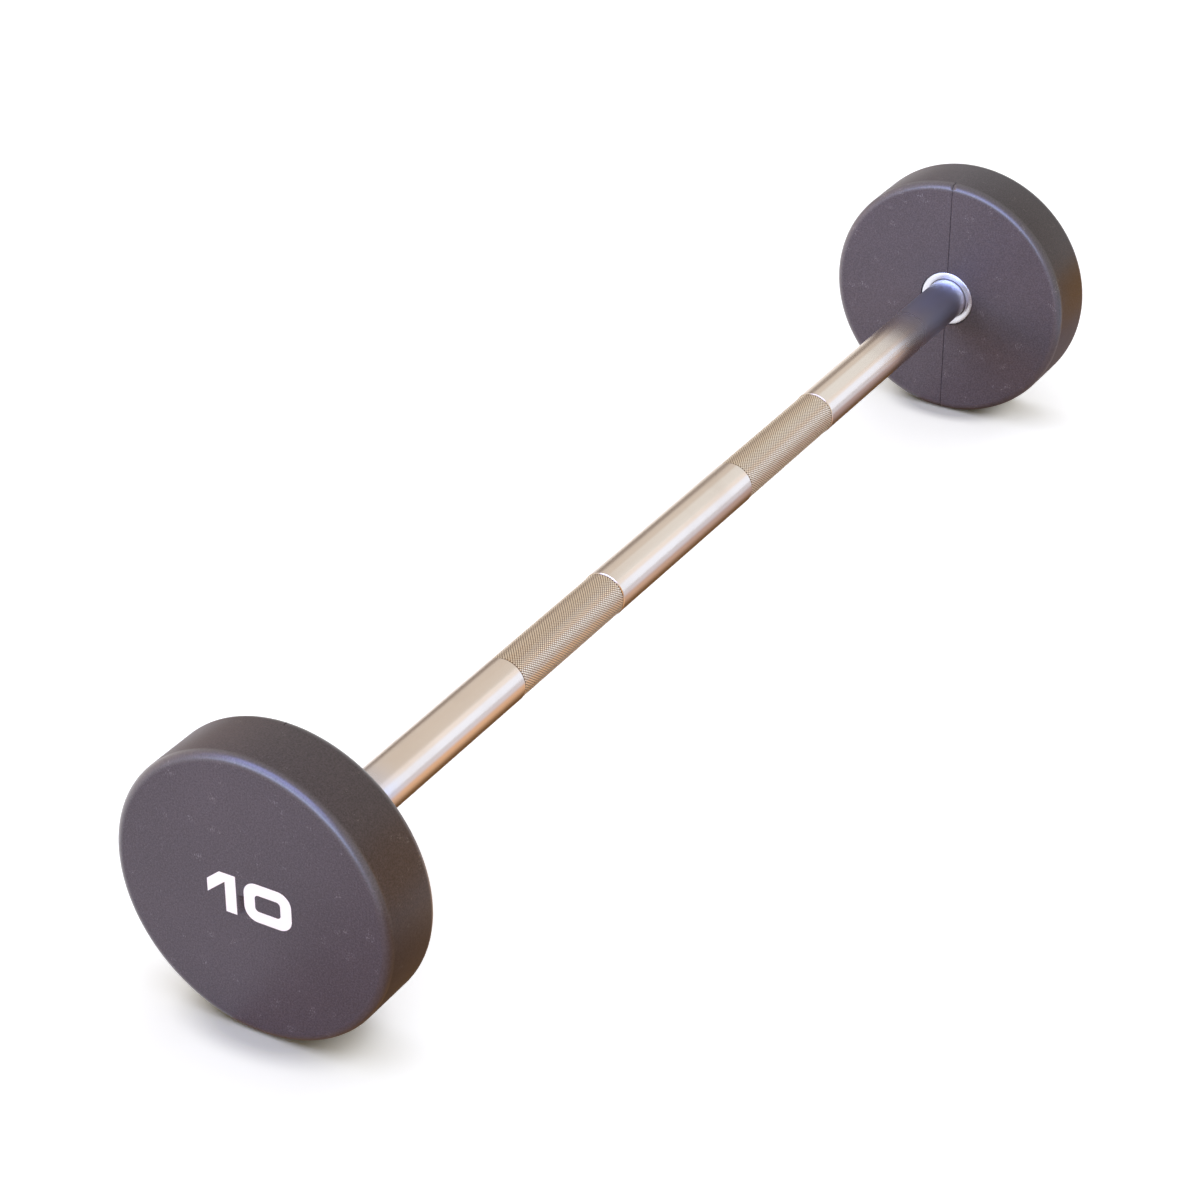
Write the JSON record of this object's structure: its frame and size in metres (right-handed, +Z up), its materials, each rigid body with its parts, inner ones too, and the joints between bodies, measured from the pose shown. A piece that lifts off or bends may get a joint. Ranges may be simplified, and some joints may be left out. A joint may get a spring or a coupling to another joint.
{
  "type": "fixed barbell",
  "caption": "Straight fixed barbell: a satin steel bar with knurled grips and a round, flat, urethane covered weight head on each end.",
  "frame": {"origin": "middle of the bar, on its axis", "axes": "+X along the bar towards the right head, +Z up as it lies on the floor, and the digits on both heads upright"},
  "size_m": [0.924, 0.18, 0.18],
  "materials": {
    "satin_chrome": "satin chrome plate, knurled on the two grips",
    "brushed_ring": "face turned bright, with fine radial marks",
    "urethane": "matt moulded urethane with a fine grain",
    "white_infill": "matt white infill",
    "core_steel": "plain turned steel",
    "zinc_steel": "bright zinc plate",
    "dark_steel": "black oxide"
  },
  "bodies": {
    "root": {"bar": "satin_chrome", "left_collar": "brushed_ring", "left_casing": "urethane", "left_core": "core_steel", "left_key": "core_steel", "left_washer": "zinc_steel", "left_lock_washer": "zinc_steel", "left_bolt": "dark_steel", "left_plug": "zinc_steel", "left_digit_one": "white_infill", "left_digit_zero": "white_infill", "right_collar": "brushed_ring", "right_casing": "urethane", "right_core": "core_steel", "right_key": "core_steel", "right_washer": "zinc_steel", "right_lock_washer": "zinc_steel", "right_bolt": "dark_steel", "right_plug": "zinc_steel", "right_digit_one": "white_infill", "right_digit_zero": "white_infill"}
  },
  "joints": []
}
